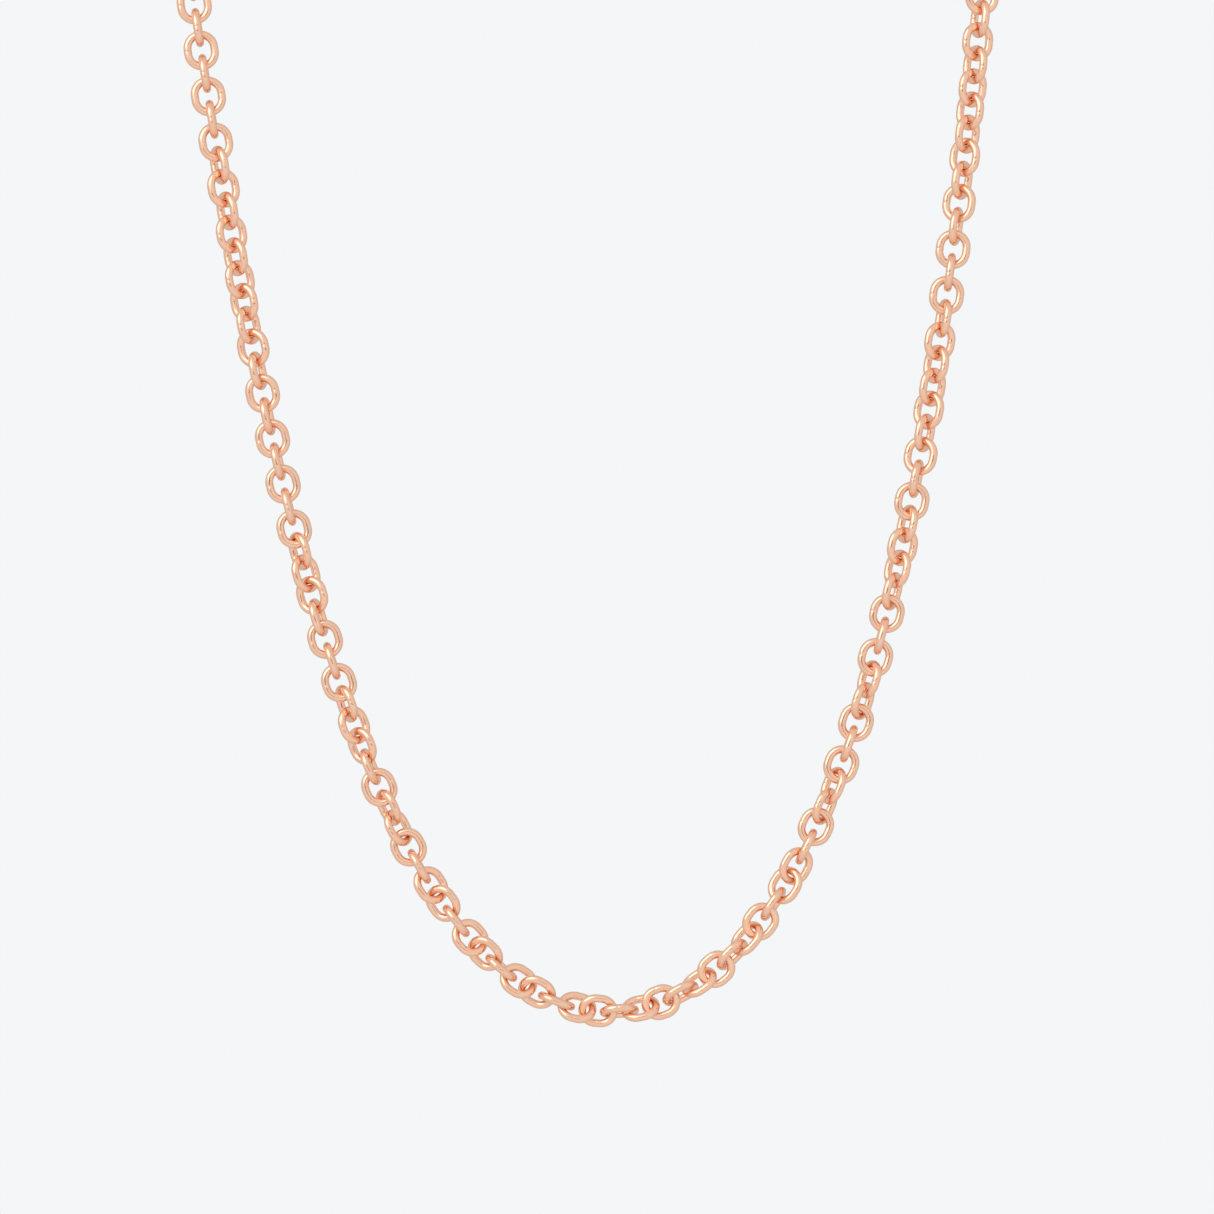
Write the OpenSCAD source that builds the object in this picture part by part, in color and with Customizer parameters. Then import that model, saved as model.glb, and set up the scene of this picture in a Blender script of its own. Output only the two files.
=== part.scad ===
// Rose-gold cable-chain necklace, 453 mm from end to end, laid flat and unfastened in the U it hangs in.
// The chain lies along the XY plane with +Z up. The origin is at the lowest point of the U,
// on the table, and both strands run towards +Y, with the clasp on the left one.
// Every link is a slightly oval ring of round wire. Neighbouring links pass through each other.

/* [Link] */
// wire diameter of a chain link
wire_d = 0.92; // [0.6:0.02:1.12]
// outside width of a link
link_w = 4.0; // [3.4:0.1:5]
// how much longer than wide a link is
link_extra = 0.56; // [0.1:0.02:2]
// play between two neighbouring links when the chain is drawn straight
link_play = 0.04; // [0.03:0.01:0.2]
// how much closer together the slack links at the lowest point of the U sit
slack = 0.22; // [0.16:0.01:0.3]

/* [Chain] */
// radius of the curve at the lowest point of the U
drape_r = 16.3; // [12:0.1:30]
// distance along the chain from its middle joint to the lowest point of the U
lead = 0.6; // [0:0.1:1.2]
// runs of links on each side of the middle run
runs_per_side = 20; // [4:1:20]

/* [Jump rings] */
// wire diameter of the two jump rings
ring_wire_d = 0.8; // [0.6:0.05:1]
// outside diameter of the two jump rings
ring_od = 4.0; // [3.8:0.1:5]

/* [End ring] */
// wire diameter of the end ring that the clasp hooks into
end_wire_d = 0.9; // [0.7:0.05:1.2]
// outside diameter of the end ring
end_od = 6.3; // [5:0.1:9]

/* [Clasp] */
// thickness of the clasp's body
clasp_t = 2.7; // [2.2:0.1:3.2]
// distance from the centre of the eye to the centre of the hook's bend
hook_y = 7.5; // [6.9:0.1:9]
// mean radius of the hook's bend
hook_r = 2.2; // [2:0.1:2.8]
// width of the hook's arm
hook_w = 1.5; // [1.2:0.1:1.8]
// wire diameter of the clasp's eye
eye_wire_d = 0.9; // [0.7:0.05:1]
// inside diameter of the clasp's eye
eye_id = 1.6; // [1.3:0.1:2]
// diameter of the rivet that the lever turns on
rivet_d = 0.7; // [0.5:0.05:0.9]
// thickness of the lever's hub inside the slot
hub_t = 0.75; // [0.6:0.05:0.9]

/* [Hidden] */
$fn = 48;
gold = [0.90, 0.63, 0.53];
steel = [0.72, 0.73, 0.75];
links_per_run = 4;
wire_r = wire_d / 2;
link_r = link_w / 2 - wire_r;
link_l = link_w + link_extra;
pitch = link_l - 2 * wire_d - link_play;
// a link's hole holds the wires of both its neighbours: the less room is left between them,
// the less the links can bunch up
crowding = max(0, 1 - (link_l - 4 * wire_d - 2 * link_play) / 0.79);
// thick wire in a narrow link binds where the chain twists, so the strands twist by fewer half turns
twist_share = 1 - 3.5 * max(0, wire_d / (link_w - 2 * wire_d) - 0.43);
axis_z = link_w / 2;
last = links_per_run * runs_per_side + 2;
first = 1 - links_per_run * runs_per_side - 2;
ring_r = (ring_od - ring_wire_d) / 2;
end_r = (end_od - end_wire_d) / 2;
eye_r = (eye_id + eye_wire_d) / 2;
fade = 30;
// the jump rings stand on edge, at least as high as the chain's own line
ring_z = max(axis_z, ring_od / 2);
// how far inside a jump ring a wire of diameter d can sit, from the ring's centre
function reach(d) = ring_r - ring_wire_d / 2 - d / 2 - 0.05;
// the clasp lies on the table, or hangs in its jump ring if that is taller
clasp_z = max(clasp_t / 2, ring_z - 0.93 * reach(eye_wire_d));
// y of the jump ring's centre beyond the chain's last contact point
ring_y =
    (wire_d + link_play) / 2 - (wire_r + ring_wire_d / 2 + 0.05)
    + sqrt(pow(ring_r, 2) - pow(ring_z - axis_z, 2));
pivot = [1.9, 4.1];
tip_r = hook_y - pivot[1] - 0.1;

// Turn of each link about the chain's own line, on top of the quarter turn from link to link.
// The slack bottom of the U twists by about 30 degrees a link, and the strands by slow quarter turns.
twists = [
    [-81, 810], [-72, 810], [-60, 720], [-45, 720], [-43, 695], [-38, 680], [-35, 655],
    [-33, 640], [-27, 630], [-26, 600], [-24, 570], [-22, 540], [-20, 540], [-19, 515],
    [-17, 495], [-16, 460], [-15, 450], [-13, 395], [-12, 360], [-11, 360], [-8, 270],
    [-7, 250], [-6, 215], [-2, 90], [0, 20], [3, -85], [6, -175], [9, -260], [11, -300],
    [13, -360], [14, -360], [17, -450], [19, -450], [22, -540], [24, -540], [26, -590],
    [28, -605], [29, -630], [31, -650], [36, -690], [38, -720], [40, -725], [43, -750],
    [49, -780], [53, -810], [62, -810], [74, -900], [82, -900]
];
left_turns = (90 + 180 * round((810 * twist_share - 90) / 180)) / 810;
right_turns = 180 * round(900 * twist_share / 180) / 900;
function roll(k) = 90 * k + (k <= 0 ? left_turns : right_turns) * lookup(k, twists);

// Distance along the U from its lowest point to joint j, where link j meets link j + 1.
// The links bunch up a little towards the lowest point, where nothing pulls them apart.
function bunched(n) = slack * (1 - crowding) * (n - n * n / (2 * fade));
function travel(j) = j * pitch - sign(j) * bunched(min(abs(j), fade)) - lead;

// The U is a catenary: the slope of link k grows with its distance from the lowest point.
function heading(k) = atan(travel(k - 0.5) / drape_r);
function step(k) = (travel(k) - travel(k - 1)) * [cos(heading(k)), sin(heading(k))];
start = [-lead, lead * lead / (2 * drape_r)];
right_joins = [for (k = 1, p = start + step(1); k <= last; k = k + 1, p = p + step(k)) p];
left_joins = [for (k = 0, p = start - step(0); k >= first; k = k - 1, p = p - step(k)) p];
// point midway between the wires of links k and k + 1, where one link hangs in the other
function join(k) = k == 0 ? start : k > 0 ? right_joins[k - 1] : left_joins[-k - 1];
function centre(k) = (join(k) + join(k - 1)) / 2;

// one oval link of round wire, lying in the XY plane with its length along X
module link() {
    for (s = [0, 180]) {
        rotate([0, 0, s]) {
            translate([link_extra / 2, 0, 0])
                rotate([0, 0, -90])
                    rotate_extrude(angle = 180)
                        translate([link_r, 0])
                            circle(d = wire_d);
            translate([-link_extra / 2, link_r, 0])
                rotate([0, 90, 0])
                    cylinder(d = wire_d, h = link_extra);
        }
    }
}

// link k of the chain in its place on the U
module placed_link(k) {
    translate([centre(k)[0], centre(k)[1], axis_z])
        rotate([0, 0, heading(k)])
            rotate([roll(k), 0, 0])
                link();
}

// run g of four links, counted from the middle run of the U
module chain_run(g) {
    color(gold)
        for (k = [links_per_run * g - 1 : links_per_run * g + 2])
            placed_link(k);
}

function run_name(g) =
    g == 0 ? "chain_centre" :
    str("chain_", g < 0 ? "left_" : "right_", abs(g) < 10 ? "0" : "", abs(g));

// puts its children at the left end of the chain, with +Y pointing away from the last link
module at_left_end() {
    translate([join(first - 1)[0], join(first - 1)[1], 0])
        rotate([0, 0, 90 + heading(first)])
            children();
}

// puts its children at the right end of the chain, with +Y pointing away from the last link
module at_right_end() {
    translate([join(last)[0], join(last)[1], 0])
        rotate([0, 0, heading(last) - 90])
            children();
}

// a round wire ring in the XY plane
module wire_ring(mean_r, d) {
    rotate_extrude()
        translate([mean_r, 0])
            circle(d = d);
}

module upright_ring() {
    translate([0, ring_y, ring_z])
        rotate([0, 90, 0])
            wire_ring(ring_r, ring_wire_d);
}

// how far a wire of diameter d at height z sits beyond the jump ring's centre when it pulls on it
function seat(d, z) = sqrt(max(0, pow(reach(d), 2) - pow(ring_z - z, 2)));

eye_y = ring_y + seat(eye_wire_d, clasp_z) + eye_r;
end_near_z = max(end_wire_d, ring_z - 0.93 * reach(end_wire_d));
end_tilt = asin((end_near_z - end_wire_d / 2) / (2 * end_r));
end_y = ring_y + seat(end_wire_d, end_near_z) + end_r * cos(end_tilt);

module jump_ring_left() {
    color(gold)
        at_left_end()
            upright_ring();
}

module jump_ring_right() {
    color(gold)
        at_right_end()
            upright_ring();
}

// the end ring leans on the jump ring and rests on the table at its far side
module end_ring() {
    color(gold)
        at_right_end()
            translate([0, end_y, (end_near_z + end_wire_d / 2) / 2])
                rotate([-end_tilt, 0, 0])
                    wire_ring(end_r, end_wire_d);
}

// puts its children in the clasp's own frame: eye at the origin, hook towards +Y
module at_clasp() {
    at_left_end()
        translate([0, eye_y, clasp_z])
            children();
}

// section of the hook's arm: a round bar with flattened inner and outer sides
module arm_section() {
    intersection() {
        circle(d = clasp_t);
        square([hook_w, clasp_t], center = true);
    }
}

module clasp_shell() {
    wire_ring(eye_r, eye_wire_d);
    translate([-hook_r, 4.2, 0])
        rotate([-90, 0, 0])
            linear_extrude(height = hook_y - 4.2)
                arm_section();
    difference() {
        translate([0, hook_y, 0])
            mirror([1, 0, 0])
                rotate_extrude(angle = 210)
                    translate([hook_r, 0])
                        arm_section();
        translate([pivot[0], pivot[1], -clasp_t])
            cylinder(r = tip_r + 0.08, h = 2 * clasp_t);
    }
    translate([0, 0, -clasp_t / 2])
        linear_extrude(height = clasp_t)
            hull() {
                translate([-hook_r + 0.3, 4.4])
                    circle(r = 1.05);
                translate([pivot[0], pivot[1]])
                    circle(r = 1.2);
                translate([0, eye_r + 1.05])
                    circle(r = 0.9);
            }
}

module clasp_body() {
    color(gold)
        at_clasp()
            difference() {
                clasp_shell();
                // slot for the lever's hub and the spring
                translate([0.45, 2.55, -0.75])
                    cube([4, 4, 1.5]);
                // hole for the rivet, countersunk at both ends
                translate([pivot[0], pivot[1], 0])
                    rivet(0.02);
            }
}

// outline of the lever: hub, arm up to the hook's tip, and thumb tab
module lever_arm(w) {
    hull() {
        translate([pivot[0] + 0.35, pivot[1] + 0.9])
            circle(d = w);
        translate([hook_r + 0.05, hook_y])
            circle(d = w + 0.1);
    }
}

module clasp_lever() {
    color(gold)
        at_clasp()
            difference() {
                union() {
                    // hub and thumb tab, thin enough to turn inside the slot
                    translate([0, 0, 0.7 - hub_t])
                        linear_extrude(height = hub_t) {
                            translate(pivot)
                                circle(r = 1.05);
                            lever_arm(1.2);
                            hull() {
                                translate(pivot)
                                    circle(r = 0.7);
                                translate([pivot[0] + 1.75, pivot[1] - 0.55])
                                    circle(r = 0.55);
                            }
                        }
                    // thick upper arm, beyond the reach of the body's cheeks
                    intersection() {
                        translate([0, 0, -1.1])
                            linear_extrude(height = 2.2)
                                lever_arm(1.3);
                        translate([pivot[0], pivot[1], -2])
                            difference() {
                                cylinder(r = tip_r, h = 4);
                                translate([0, 0, -1])
                                    cylinder(r = 2, h = 6);
                            }
                    }
                    // thick thumb tab
                    translate([pivot[0] + 1.95, pivot[1] - 0.6, -0.95])
                        cylinder(r = 0.55, h = 1.9);
                }
                // bore that turns on the rivet
                translate([pivot[0], pivot[1], -3])
                    cylinder(d = rivet_d + 0.1, h = 6);
                // tip rounded about the rivet, so that it swings clear of the hook
                translate([pivot[0], pivot[1], -3])
                    difference() {
                        cylinder(r = 8, h = 6);
                        translate([0, 0, -1])
                            cylinder(r = tip_r, h = 8);
                    }
            }
}

// the rivet, with flush countersunk ends, made wider by c
module rivet(c) {
    cylinder(d = rivet_d + c, h = clasp_t, center = true);
    for (s = [0, 180])
        rotate([s, 0, 0])
            translate([0, 0, clasp_t / 2 - 0.2])
                cylinder(d1 = rivet_d + c, d2 = rivet_d + c + 0.4, h = 0.2);
}

module clasp_rivet() {
    color(gold)
        at_clasp()
            translate([pivot[0], pivot[1], 0])
                rivet(0);
}

// the coil spring around the rivet, with its lower leg along the slot and its upper leg up the lever
spring_r = rivet_d / 2 + 0.25;
spring_wire = 0.18;
// the coil fills the slot below the lever's hub, with as many turns as fit
spring_rise = 1.16 - hub_t;
spring_turns = floor(spring_rise / 0.136) - 0.25;
spring_steps = 56;
spring_leg = 0.42;
function coil(i) =
    let (a = 360 * spring_turns * i / spring_steps - 90)
    [spring_r * cos(a), spring_r * sin(a), -0.63 + spring_rise * i / spring_steps];
coil_path = concat(
    [[-spring_leg, -spring_r, -0.63]],
    [for (i = [0:spring_steps]) coil(i)],
    [coil(spring_steps) + [0, spring_leg, 0]]
);
function unit(v) = v / norm(v);
function direction(i) =
    unit(coil_path[min(i + 1, len(coil_path) - 1)] - coil_path[max(i - 1, 0)]);
function section(i) =
    let (t = direction(i), n = unit(cross([0, 0, 1], t)), b = cross(t, n))
    [for (j = [0:7]) coil_path[i] + spring_wire / 2 * (cos(45 * j) * n + sin(45 * j) * b)];

module clasp_spring() {
    n = len(coil_path);
    pts = [for (i = [0 : n - 1]) each section(i)];
    sides = [for (i = [0 : n - 2]) for (j = [0:7])
        [8 * i + j, 8 * i + 8 + j, 8 * i + 8 + (j + 1) % 8, 8 * i + (j + 1) % 8]];
    caps = [[for (j = [0:7]) j], [for (j = [7:-1:0]) 8 * (n - 1) + j]];
    color(steel)
        at_clasp()
            translate([pivot[0], pivot[1], 0])
                polyhedron(points = pts, faces = concat(sides, caps));
}

for (g = [-runs_per_side:runs_per_side])
    chain_run(g);
jump_ring_left();
clasp_body();
clasp_lever();
clasp_rivet();
clasp_spring();
jump_ring_right();
end_ring();
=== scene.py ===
import bpy
import bmesh
import math
from mathutils import Matrix, Vector


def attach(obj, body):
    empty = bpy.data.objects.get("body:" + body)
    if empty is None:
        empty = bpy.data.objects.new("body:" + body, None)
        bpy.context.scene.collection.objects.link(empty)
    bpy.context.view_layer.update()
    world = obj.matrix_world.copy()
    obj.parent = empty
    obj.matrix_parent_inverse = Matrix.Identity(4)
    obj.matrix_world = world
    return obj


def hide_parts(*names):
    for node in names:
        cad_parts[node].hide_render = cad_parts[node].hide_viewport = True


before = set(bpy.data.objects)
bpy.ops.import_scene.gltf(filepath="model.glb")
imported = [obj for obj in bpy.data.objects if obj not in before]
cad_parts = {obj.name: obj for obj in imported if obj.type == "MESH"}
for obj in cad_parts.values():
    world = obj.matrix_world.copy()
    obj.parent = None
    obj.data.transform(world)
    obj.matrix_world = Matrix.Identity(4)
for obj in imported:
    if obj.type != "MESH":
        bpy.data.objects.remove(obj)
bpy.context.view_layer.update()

MM = 0.001
MERGE_MM = 0.0005
SHARP_ANGLE = math.radians(38)

# ---------------------------------------------------------------- shared shape tools
# Small helpers used by every piece. Each one works on a bmesh in millimetres,
# and finish_piece() turns it into an object in metres that rides on its CAD body.


def wire_section(bm, at, radius, sides):
    """A circle of edges that stands across the X axis, the start of a round wire."""
    across_x = Matrix.Translation(at) @ Matrix.Rotation(math.pi / 2, 4, "Y")
    made = bmesh.ops.create_circle(bm, segments=sides, radius=radius, matrix=across_x)
    edges = set()
    for v in made["verts"]:
        edges.update(v.link_edges)
    return list(edges)


def spin_on(bm, edges, centre, degrees, steps, lift=(0, 0, 0)):
    """Sweep some edges round an upright axis, and give back the last ones made."""
    made = bmesh.ops.spin(bm, geom=edges, cent=centre, axis=(0, 0, 1), dvec=lift,
                          angle=math.radians(degrees), steps=steps, use_duplicate=False)
    return [e for e in made["geom_last"] if isinstance(e, bmesh.types.BMEdge)]


def pull_on(bm, edges, shift, scale=1.0):
    """Extrude some edges by a shift, and give back the new ones."""
    made = bmesh.ops.extrude_edge_only(bm, edges=edges)["geom"]
    verts = [v for v in made if isinstance(v, bmesh.types.BMVert)]
    bmesh.ops.translate(bm, verts=verts, vec=shift)
    if scale != 1.0:
        mid = sum((v.co for v in verts), Vector()) / len(verts)
        bmesh.ops.scale(bm, verts=verts, vec=(scale, scale, scale), space=Matrix.Translation(-mid))
    return [e for e in made if isinstance(e, bmesh.types.BMEdge) and all(v in verts for v in e.verts)]


def tidy_mesh(bm):
    bmesh.ops.remove_doubles(bm, verts=bm.verts, dist=MERGE_MM)
    bmesh.ops.recalc_face_normals(bm, faces=bm.faces)


def as_mesh(bm, name):
    mesh = bpy.data.meshes.new(name)
    tidy_mesh(bm)
    bm.to_mesh(mesh)
    bm.free()
    return mesh


def finish_piece(bm, name, material, body, nodes, place=Matrix.Identity(4)):
    """Turn the bmesh into a smooth-shaded object in metres that moves with its body."""
    tidy_mesh(bm)
    bm.transform(Matrix.Scale(MM, 4) @ place)
    mesh = bpy.data.meshes.new(name)
    bm.to_mesh(mesh)
    bm.free()
    mesh.materials.append(material)
    mesh.shade_smooth()
    mesh.set_sharp_from_angle(angle=SHARP_ANGLE)
    obj = bpy.data.objects.new(name, mesh)
    bpy.context.scene.collection.objects.link(obj)
    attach(obj, body)
    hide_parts(*nodes)
    return obj


# ---------------------------------------------------------------- materials
# Polished rose-gold plate and bright spring steel. The group gives the polish its
# faint unevenness: soft hand-polish waves, and hairlines too fine to see one by one.


def map_range(nodes, low, high, to_low=0.0, to_high=1.0):
    made = nodes.new("ShaderNodeMapRange")
    for socket, value in (("From Min", low), ("From Max", high), ("To Min", to_low), ("To Max", to_high)):
        made.inputs[socket].default_value = value
    return made


def bump(nodes, strength, distance):
    made = nodes.new("ShaderNodeBump")
    made.inputs["Strength"].default_value = strength
    made.inputs["Distance"].default_value = distance
    return made


def glow_material(name, colour):
    mat = bpy.data.materials.new(name)
    mat.use_nodes = True
    n, link = mat.node_tree.nodes, mat.node_tree.links
    n.clear()
    glow = n.new("ShaderNodeEmission")
    glow.inputs["Color"].default_value = (*colour, 1)
    out = n.new("ShaderNodeOutputMaterial")
    link.new(glow.outputs["Emission"], out.inputs["Surface"])
    return mat


def polish_group():
    group = bpy.data.node_groups.new("polish_wear", "ShaderNodeTree")
    group.interface.new_socket("Roughness", in_out="OUTPUT", socket_type="NodeSocketFloat")
    group.interface.new_socket("Tone", in_out="OUTPUT", socket_type="NodeSocketFloat")
    group.interface.new_socket("Normal", in_out="OUTPUT", socket_type="NodeSocketVector")
    n, link = group.nodes, group.links
    out = n.new("NodeGroupOutput")
    coord = n.new("ShaderNodeTexCoord")

    waves = n.new("ShaderNodeTexNoise")
    waves.inputs["Scale"].default_value = 900
    waves.inputs["Detail"].default_value = 2
    hairs = n.new("ShaderNodeTexNoise")
    hairs.inputs["Scale"].default_value = 9000
    hairs.inputs["Detail"].default_value = 3
    patches = n.new("ShaderNodeTexNoise")
    patches.inputs["Scale"].default_value = 300
    for tex in (waves, hairs, patches):
        link.new(coord.outputs["Object"], tex.inputs["Vector"])

    rough = map_range(n, 0.3, 0.7, 0.15, 0.21)
    link.new(patches.outputs["Fac"], rough.inputs["Value"])
    tone = map_range(n, 0.3, 0.7)
    link.new(waves.outputs["Fac"], tone.inputs["Value"])

    soft = bump(n, 0.08, 0.04 * MM)
    link.new(waves.outputs["Fac"], soft.inputs["Height"])
    fine = bump(n, 0.06, 0.004 * MM)
    link.new(hairs.outputs["Fac"], fine.inputs["Height"])
    link.new(soft.outputs["Normal"], fine.inputs["Normal"])

    link.new(rough.outputs["Result"], out.inputs["Roughness"])
    link.new(tone.outputs["Result"], out.inputs["Tone"])
    link.new(fine.outputs["Normal"], out.inputs["Normal"])


def metal(name, pale, deep, rough_add=0.0):
    mat = bpy.data.materials.new(name)
    mat.use_nodes = True
    n, link = mat.node_tree.nodes, mat.node_tree.links
    bsdf = n["Principled BSDF"]
    bsdf.inputs["Metallic"].default_value = 1.0
    wear = n.new("ShaderNodeGroup")
    wear.node_tree = bpy.data.node_groups["polish_wear"]
    mix = n.new("ShaderNodeMix")
    mix.data_type = "RGBA"
    mix.inputs["A"].default_value = (*deep, 1)
    mix.inputs["B"].default_value = (*pale, 1)
    link.new(wear.outputs["Tone"], mix.inputs["Factor"])
    link.new(mix.outputs["Result"], bsdf.inputs["Base Color"])
    add = n.new("ShaderNodeMath")
    add.inputs[1].default_value = rough_add
    link.new(wear.outputs["Roughness"], add.inputs[0])
    link.new(add.outputs["Value"], bsdf.inputs["Roughness"])
    link.new(wear.outputs["Normal"], bsdf.inputs["Normal"])
    return mat


polish_group()
rose_gold = metal("rose_gold_polished", pale=(0.965, 0.625, 0.455), deep=(0.95, 0.58, 0.41))
cut_gold = metal("rose_gold_cast", pale=(0.96, 0.625, 0.455), deep=(0.94, 0.58, 0.41), rough_add=0.04)
spring_steel = metal("spring_steel_drawn", pale=(0.72, 0.73, 0.75), deep=(0.62, 0.63, 0.65), rough_add=0.08)

# ---------------------------------------------------------------- chain: the line it lies on
# The U is a catenary laid on the table. Link k sits between the joins k - 1 and k,
# and turns about the chain's own line a quarter turn a link plus a slow twist.
wire_d, link_w, link_l = 0.92, 4.0, 4.56
play, slack, fade, drape_r, lead = 0.04, 0.22, 30, 16.3, 0.6
runs_per_side = 20
link_r = (link_w - wire_d) / 2
straight = link_l - link_w
pitch = link_l - 2 * wire_d - play
axis_z = link_w / 2
last = 4 * runs_per_side + 2
first = 1 - 4 * runs_per_side - 2
twists = [
    (-81, 810), (-72, 810), (-60, 720), (-45, 720), (-43, 695), (-38, 680), (-35, 655),
    (-33, 640), (-27, 630), (-26, 600), (-24, 570), (-22, 540), (-20, 540), (-19, 515),
    (-17, 495), (-16, 460), (-15, 450), (-13, 395), (-12, 360), (-11, 360), (-8, 270),
    (-7, 250), (-6, 215), (-2, 90), (0, 20), (3, -85), (6, -175), (9, -260), (11, -300),
    (13, -360), (14, -360), (17, -450), (19, -450), (22, -540), (24, -540), (26, -590),
    (28, -605), (29, -630), (31, -650), (36, -690), (38, -720), (40, -725), (43, -750),
    (49, -780), (53, -810), (62, -810), (74, -900), (82, -900),
]


def roll(k):
    for (a, ta), (b, tb) in zip(twists, twists[1:]):
        if a <= k <= b:
            return 90 * k + ta + (tb - ta) * (k - a) / (b - a)
    return 90 * k


def travel(j):
    """Distance along the U from its lowest point to join j; slack links sit closer together."""
    n = min(abs(j), fade)
    return j * pitch - math.copysign(slack * (n - n * n / (2 * fade)), j) - lead


def heading(k):
    return math.degrees(math.atan(travel(k - 0.5) / drape_r))


def step(k):
    a = math.radians(heading(k))
    return (travel(k) - travel(k - 1)) * Vector((math.cos(a), math.sin(a)))


joins = {0: Vector((-lead, lead * lead / (2 * drape_r)))}
for k in range(1, last + 1):
    joins[k] = joins[k - 1] + step(k)
for k in range(0, first - 1, -1):
    joins[k - 1] = joins[k] - step(k)


def link_place(k):
    mid = (joins[k] + joins[k - 1]) / 2
    return (Matrix.Translation((mid.x, mid.y, axis_z))
            @ Matrix.Rotation(math.radians(heading(k)), 4, "Z")
            @ Matrix.Rotation(math.radians(roll(k)), 4, "X"))


# ---------------------------------------------------------------- chain: one link
# A slightly oval ring of round wire: two half turns joined by short straights.
# One straight carries the solder seam, a hairline groove where the wire's ends meet.
wire_sides, half_turn_steps = 24, 38
seam_at, seam_side, seam_floor, seam_share = 0.135, 0.025, 0.03, 0.985
bm = bmesh.new()
section = wire_section(bm, (straight / 2, -link_r, 0), wire_d / 2, wire_sides)
section = spin_on(bm, section, (straight / 2, 0, 0), 180, half_turn_steps)
section = pull_on(bm, section, (-straight / 2, 0, 0))
section = pull_on(bm, section, (-straight / 2, 0, 0))
section = spin_on(bm, section, (-straight / 2, 0, 0), 180, half_turn_steps)
section = pull_on(bm, section, (seam_at, 0, 0))
section = pull_on(bm, section, (seam_side, 0, 0), seam_share)
section = pull_on(bm, section, (seam_floor, 0, 0))
section = pull_on(bm, section, (seam_side, 0, 0), 1 / seam_share)
pull_on(bm, section, (straight - seam_at - 2 * seam_side - seam_floor, 0, 0))
link_mesh = as_mesh(bm, "link_template")

# ---------------------------------------------------------------- chain: the runs
# Each run of four links rides on its own body. Every link passes through its two neighbours,
# and some are turned over, so that the seams don't all lie on the same side.
for g in range(-runs_per_side, runs_per_side + 1):
    name = "chain_centre" if g == 0 else f"chain_{'left' if g < 0 else 'right'}_{abs(g):02d}"
    bm = bmesh.new()
    for k in range(4 * g - 1, 4 * g + 3):
        start = len(bm.verts)
        bm.from_mesh(link_mesh)
        bm.verts.ensure_lookup_table()
        new = bm.verts[start:]
        turned_over = Matrix.Rotation(math.pi * (k % 3 % 2), 4, "X")
        bmesh.ops.transform(bm, matrix=link_place(k) @ turned_over, verts=new)
    finish_piece(bm, "links_" + name, rose_gold, name, [name])

# ---------------------------------------------------------------- ends of the chain
# Frames at the two ends: +Y points away from the last link, the way the clasp and rings lie.
# The jump rings stand on edge, and what hangs in them sits as far inside as its wire can.
ring_wire, ring_od, end_wire, end_od = 0.8, 4.0, 0.9, 6.3
ring_r, end_r = (ring_od - ring_wire) / 2, (end_od - end_wire) / 2
clasp_t, eye_wire, eye_id = 2.7, 0.9, 1.6
clasp_z, eye_r = clasp_t / 2, (eye_id + eye_wire) / 2
ring_z = ring_od / 2
wire_gap = 0.05
ring_y = (wire_d + play) / 2 - (wire_d / 2 + ring_wire / 2 + wire_gap) + ring_r
reach = ring_r - ring_wire / 2 - eye_wire / 2 - wire_gap
end_near_z = ring_z - 0.93 * reach
eye_y = ring_y + math.sqrt(reach ** 2 - (ring_z - clasp_z) ** 2) + eye_r
tilt = math.asin((end_near_z - end_wire / 2) / (2 * end_r))
end_y = ring_y + math.sqrt(reach ** 2 - (ring_z - end_near_z) ** 2) + end_r * math.cos(tilt)
left_end = (Matrix.Translation((joins[first - 1].x, joins[first - 1].y, 0))
            @ Matrix.Rotation(math.radians(90 + heading(first)), 4, "Z"))
right_end = (Matrix.Translation((joins[last].x, joins[last].y, 0))
             @ Matrix.Rotation(math.radians(heading(last) - 90), 4, "Z"))


def cut_ring(mean_r, wire, gap_mm):
    """A round wire ring that is cut through and pressed shut, so its ends almost meet."""
    ring = bmesh.new()
    gap = math.degrees(gap_mm / mean_r)
    ends = wire_section(ring, (mean_r, 0, 0), wire / 2, 28)
    turned = Matrix.Rotation(math.pi / 2, 4, "Z")
    to_wire = Matrix.Translation((mean_r, 0, 0))
    bmesh.ops.transform(ring, matrix=to_wire @ turned @ to_wire.inverted(), verts=ring.verts)
    far = spin_on(ring, ends, (0, 0, 0), 360 - gap, 110)
    bmesh.ops.edgeloop_fill(ring, edges=far)
    bmesh.ops.edgeloop_fill(ring, edges=[e for e in ring.edges if len(e.link_faces) == 1])
    return ring


# ---------------------------------------------------------------- jump rings
# Two cut rings of 0.8 mm wire, standing on edge, join the last links to the clasp and end ring.
upright = Matrix.Translation((0, ring_y, ring_z)) @ Matrix.Rotation(math.pi / 2, 4, "Y")
for side, end, seam in (("left", left_end, 200), ("right", right_end, 20)):
    node = f"jump_ring_{side}"
    finish_piece(cut_ring(ring_r, ring_wire, 0.03), "wire_" + node, rose_gold, node, [node],
                 end @ upright @ Matrix.Rotation(math.radians(seam), 4, "Z"))

# ---------------------------------------------------------------- end ring
# The larger soldered ring of 0.9 mm wire that the clasp hooks into. It leans on its jump ring.
lean = Matrix.Translation((0, end_y, (end_near_z + end_wire / 2) / 2)) @ Matrix.Rotation(-tilt, 4, "X")
finish_piece(cut_ring(end_r, end_wire, 0.0), "wire_end_ring", rose_gold, "end_ring", ["end_ring"],
             right_end @ lean)

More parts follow.
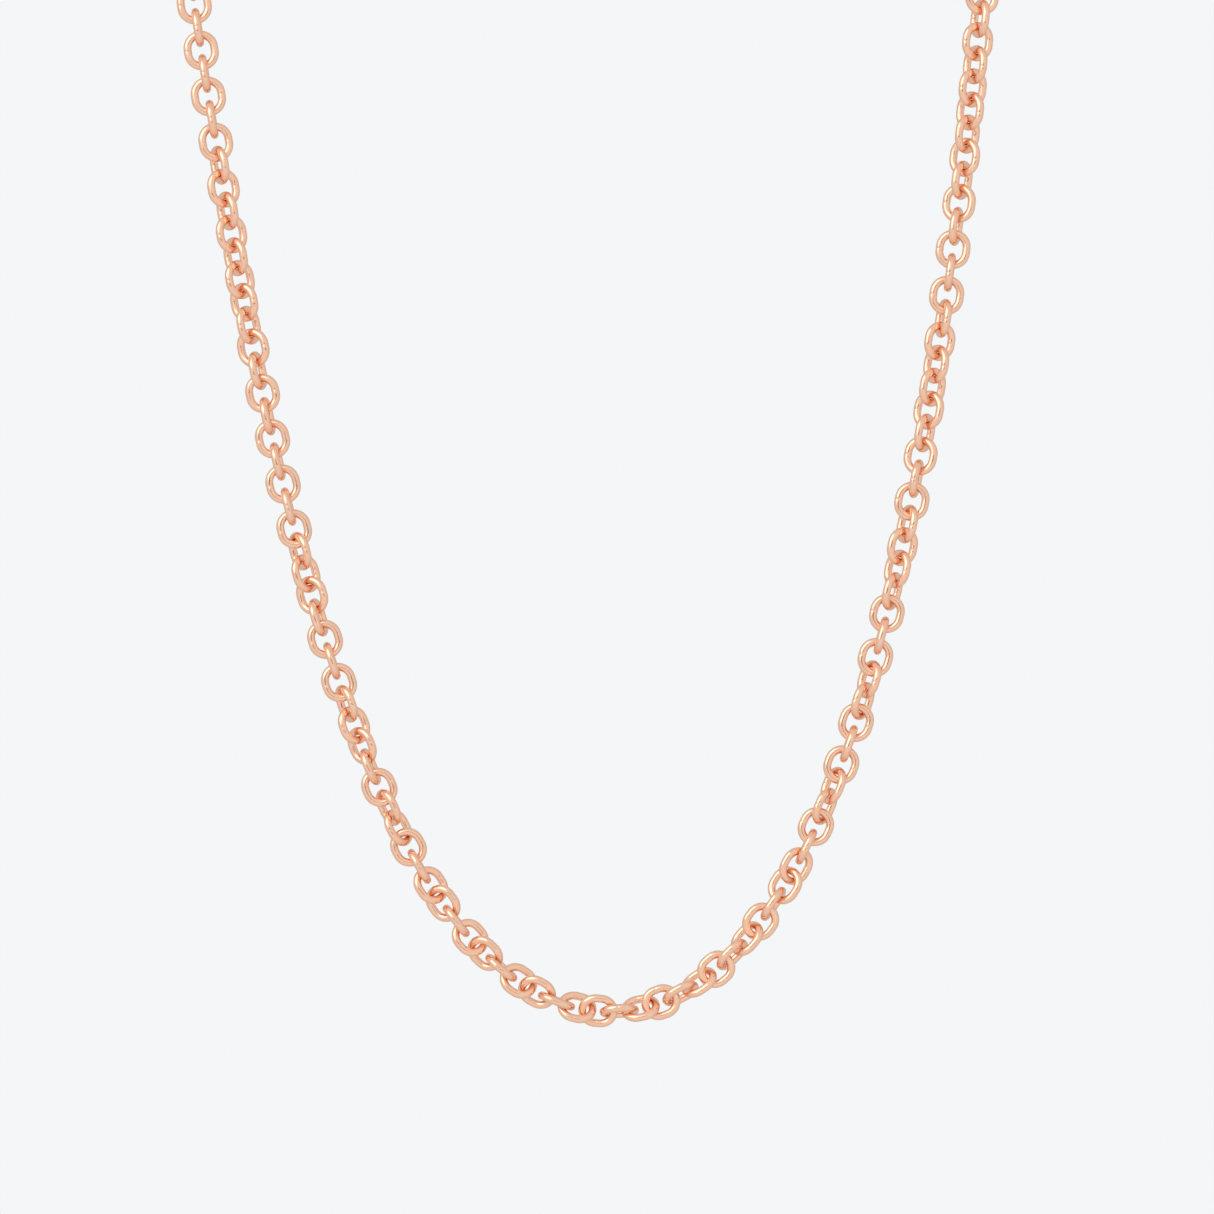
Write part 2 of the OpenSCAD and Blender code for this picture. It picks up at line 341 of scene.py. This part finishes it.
# ---------------------------------------------------------------- clasp: shared sizes
# A lobster clasp lying flat: eye at the origin, hook towards +Y, lever on the +X side.
hook_y, hook_r, hook_w = 7.5, 2.2, 1.5
pivot = Vector((1.9, 4.1, 0))
rivet_r, hub_t = 0.35, 0.75
clasp_place = left_end @ Matrix.Translation((0, eye_y, clasp_z))


def outline(circles, steps=20):
    """Corner points of the band stretched round some circles, anticlockwise."""
    pts = []
    for x, y, r in circles:
        for i in range(steps * 4):
            a = math.tau * i / (steps * 4)
            pts.append((x + r * math.cos(a), y + r * math.sin(a)))
    pts = sorted(set(pts))

    def half(run):
        out = []
        for p in run:
            while len(out) > 1 and ((out[-1][0] - out[-2][0]) * (p[1] - out[-2][1])
                                    - (out[-1][1] - out[-2][1]) * (p[0] - out[-2][0])) <= 1e-9:
                out.pop()
            out.append(p)
        return out[:-1]

    return half(pts) + half(pts[::-1])


def slab(bm, points, z0, z1, round_r, segments=5):
    """A plate with this outline between two heights, with its rims rounded."""
    verts = [bm.verts.new((x, y, z0)) for x, y in points]
    face = bm.faces.new(verts)
    made = bmesh.ops.extrude_face_region(bm, geom=[face])["geom"]
    top = [v for v in made if isinstance(v, bmesh.types.BMVert)]
    bmesh.ops.translate(bm, verts=top, vec=(0, 0, z1 - z0))
    both = set(verts) | set(top)
    rims = [e for e in bm.edges if e.verts[0] in both and e.verts[1] in both
            and abs(e.verts[0].co.z - e.verts[1].co.z) < 1e-6]
    if round_r:
        bmesh.ops.bevel(bm, geom=rims, offset=round_r, segments=segments, profile=0.5, affect="EDGES",
                        clamp_overlap=True)


# ---------------------------------------------------------------- clasp body
# Cast in one piece: eye, shoulder with two cheeks that hold the lever, spine and hook.
bm = bmesh.new()
eye = wire_section(bm, (0, -eye_r, 0), eye_wire / 2, 24)
spin_on(bm, eye, (0, 0, 0), 360, 72)

shoulder = outline([(-hook_r + 0.3, 4.4, 1.05), (pivot.x, pivot.y, 1.2), (0, eye_r + 1.05, 0.9)])
cheek_low, cheek_top = 0.75, clasp_t / 2 - 0.015
slab(bm, shoulder, cheek_low, cheek_top, 0.3)
slab(bm, shoulder, -cheek_top, -cheek_low, 0.3)
core = outline([(-hook_r + 0.45, 4.3, 0.86), (-0.35, 4.3, 0.78), (-0.05, eye_r + 1.1, 0.5), (-0.4, 2.75, 0.8)])
slab(bm, core, -0.8, 0.8, 0.0)

arm_sides, arm_steps, arm_y, squareness = 28, 8, 4.0, 3.2
corner = []
for i in range(arm_sides):
    a = math.tau * i / arm_sides
    cx, cz = math.cos(a), math.sin(a)
    f = (abs(cx) ** squareness + abs(cz) ** squareness) ** (-1 / squareness)
    corner.append(bm.verts.new((-hook_r + hook_w / 2 * cx * f, arm_y, clasp_t / 2 * cz * f)))
arm = [bm.edges.new((corner[i], corner[(i + 1) % arm_sides])) for i in range(arm_sides)]
bmesh.ops.edgeloop_fill(bm, edges=arm)
for i in range(arm_steps):
    arm = pull_on(bm, arm, (0, (hook_y - arm_y) / arm_steps, 0))
arm = spin_on(bm, arm, (0, hook_y, 0), -176, 60)
bmesh.ops.edgeloop_fill(bm, edges=arm)
finish_piece(bm, "cast_clasp_body", cut_gold, "clasp", ["clasp_body"], clasp_place)

# ---------------------------------------------------------------- clasp lever
# The sprung gate: a thin hub between the cheeks, a thick arm that closes the hook, and a thumb tab.
# The hub's three plates differ a hair in thickness, so that no two faces lie in one plane.
bm = bmesh.new()
slab(bm, outline([(pivot.x, pivot.y, 1.03), (pivot.x + 0.35, pivot.y + 0.9, 0.6)]), 0.7 - hub_t, 0.69, 0.05, 2)
slab(bm, outline([(pivot.x, pivot.y, 0.7), (pivot.x + 1.75, pivot.y - 0.55, 0.54)]), 0.71 - hub_t, 0.68, 0.05, 2)
slab(bm, outline([(pivot.x + 0.35, pivot.y + 0.9, 0.58), (pivot.x + 0.45, pivot.y + 2.4, 0.6)]),
     0.72 - hub_t, 0.67, 0.05, 2)
slab(bm, outline([(pivot.x + 0.42, pivot.y + 2.64, 0.62), (hook_r + 0.05, hook_y - 0.78, 0.66)]), -1.1, 1.1, 0.32)
slab(bm, outline([(pivot.x + 1.95, pivot.y - 0.6, 0.54)]), -0.95, 0.95, 0.25)
finish_piece(bm, "cast_clasp_lever", cut_gold, "clasp_lever", ["clasp_lever"], clasp_place)

# ---------------------------------------------------------------- clasp rivet
# A plain pin through both cheeks, hammered flush into a countersink at each side.
bm = bmesh.new()
half_l = clasp_t / 2
points = [(0.0, -half_l), (0.5, -half_l), (0.535, -half_l + 0.008), (0.55, -half_l + 0.03),
          (rivet_r, -half_l + 0.2)]
points += [(r, -z) for r, z in reversed(points)]
verts = [bm.verts.new((r, 0, z)) for r, z in points]
line = [bm.edges.new((verts[i], verts[i + 1])) for i in range(len(verts) - 1)]
spin_on(bm, line, (0, 0, 0), 360, 48)
finish_piece(bm, "pin_clasp_rivet", cut_gold, "clasp", ["clasp_rivet"],
             clasp_place @ Matrix.Translation(pivot))

# ---------------------------------------------------------------- clasp spring
# A coil of fine steel wire around the rivet, under the lever's hub, with two short legs.
bm = bmesh.new()
coil_r, coil_wire = rivet_r + 0.25, 0.18
coil_low, coil_rise, coil_steps, leg_l = -0.63, 0.41, 110, 0.42
coil = wire_section(bm, (0, -coil_r, coil_low), coil_wire / 2, 12)
back = pull_on(bm, coil, (-leg_l, 0, 0))
bmesh.ops.edgeloop_fill(bm, edges=back)
turned = spin_on(bm, coil, (0, 0, 0), 990, coil_steps, (0, 0, coil_rise / coil_steps))
leg = pull_on(bm, turned, (0, leg_l, 0))
bmesh.ops.edgeloop_fill(bm, edges=leg)
finish_piece(bm, "coil_clasp_spring", spring_steel, "clasp", ["clasp_spring"],
             clasp_place @ Matrix.Translation(pivot))

# ---------------------------------------------------------------- floor
# A plain, evenly lit pale table that glows like the wall of a light tent and shows no shadow.
bm = bmesh.new()
bmesh.ops.create_grid(bm, x_segments=1, y_segments=1, size=6.0)
mesh = bpy.data.meshes.new("floor")
bm.to_mesh(mesh)
bm.free()
floor = bpy.data.objects.new("floor", mesh)
floor.location = (0, 0.1, -0.0003)
floor.visible_glossy = False
floor.visible_diffuse = False
bpy.context.scene.collection.objects.link(floor)
mesh.materials.append(glow_material("pale_floor", (0.9047, 0.9216, 0.9301)))

# ---------------------------------------------------------------- light
# A white light tent, bright overhead and dim below the table's edge, with one large soft box
# at the upper left. A long dark card overhead draws a short dark dash down each upright wire.
world = bpy.data.worlds.new("tent")
bpy.context.scene.world = world
world.use_nodes = True
n, link = world.node_tree.nodes, world.node_tree.links
n.clear()
coord = n.new("ShaderNodeTexCoord")
split = n.new("ShaderNodeSeparateXYZ")
spread = map_range(n, -1.0, 1.0)
ramp = n.new("ShaderNodeValToRGB")
sky = n.new("ShaderNodeBackground")
out = n.new("ShaderNodeOutputWorld")
link.new(coord.outputs["Generated"], split.inputs["Vector"])
link.new(split.outputs["Z"], spread.inputs["Value"])
link.new(spread.outputs["Result"], ramp.inputs["Fac"])
link.new(ramp.outputs["Color"], sky.inputs["Color"])
link.new(sky.outputs["Background"], out.inputs["Surface"])
below, above = ramp.color_ramp.elements
below.color = (0.64, 0.61, 0.58, 1)
above.color = (0.93, 0.93, 0.92, 1)
ramp.color_ramp.elements.new(0.5).color = (0.79, 0.77, 0.75, 1)

lamp = bpy.data.lights.new("soft_box", "AREA")
lamp.shape = "SQUARE"
lamp.size = 0.7
lamp.energy = 1.75
box_light = bpy.data.objects.new("soft_box", lamp)
box_light.location = (-0.45, 0.45, 0.5)
towards_chain = Vector((0, 0.1, 0)) - box_light.location
box_light.rotation_euler = towards_chain.to_track_quat("-Z", "Y").to_euler()
bpy.context.scene.collection.objects.link(box_light)

bm = bmesh.new()
bmesh.ops.create_grid(bm, x_segments=1, y_segments=1, size=0.5)
bmesh.ops.scale(bm, vec=(0.44, 0.07, 1), verts=bm.verts)
mesh = bpy.data.meshes.new("dark_card")
bm.to_mesh(mesh)
bm.free()
card = bpy.data.objects.new("dark_card", mesh)
card.location = (0, 0.047, 0.6)
card.visible_camera = False
card.visible_shadow = False
bpy.context.scene.collection.objects.link(card)
mesh.materials.append(glow_material("dark_card", (0.10, 0.09, 0.08)))

# ---------------------------------------------------------------- camera
# Straight down on the laid chain through a long lens, turned by a degree and a half,
# and framed on the lower half of the U so that both strands run out at the top.
shown_mm, distance = 140.3, 1.2
sensor_mm = 36
lens = bpy.data.cameras.new("camera")
lens.sensor_width = sensor_mm
lens.lens = sensor_mm * distance / (shown_mm * MM)
lens.clip_start, lens.clip_end = 0.05, 20
camera = bpy.data.objects.new("camera", lens)
turn = math.radians(-1.41)
camera.matrix_world = Matrix.Translation((0.00036, 0.0467, distance)) @ Matrix.Rotation(turn, 4, "Z")
bpy.context.scene.collection.objects.link(camera)
bpy.context.scene.camera = camera
bpy.context.scene.view_settings.view_transform = "Standard"

bpy.data.meshes.remove(link_mesh)
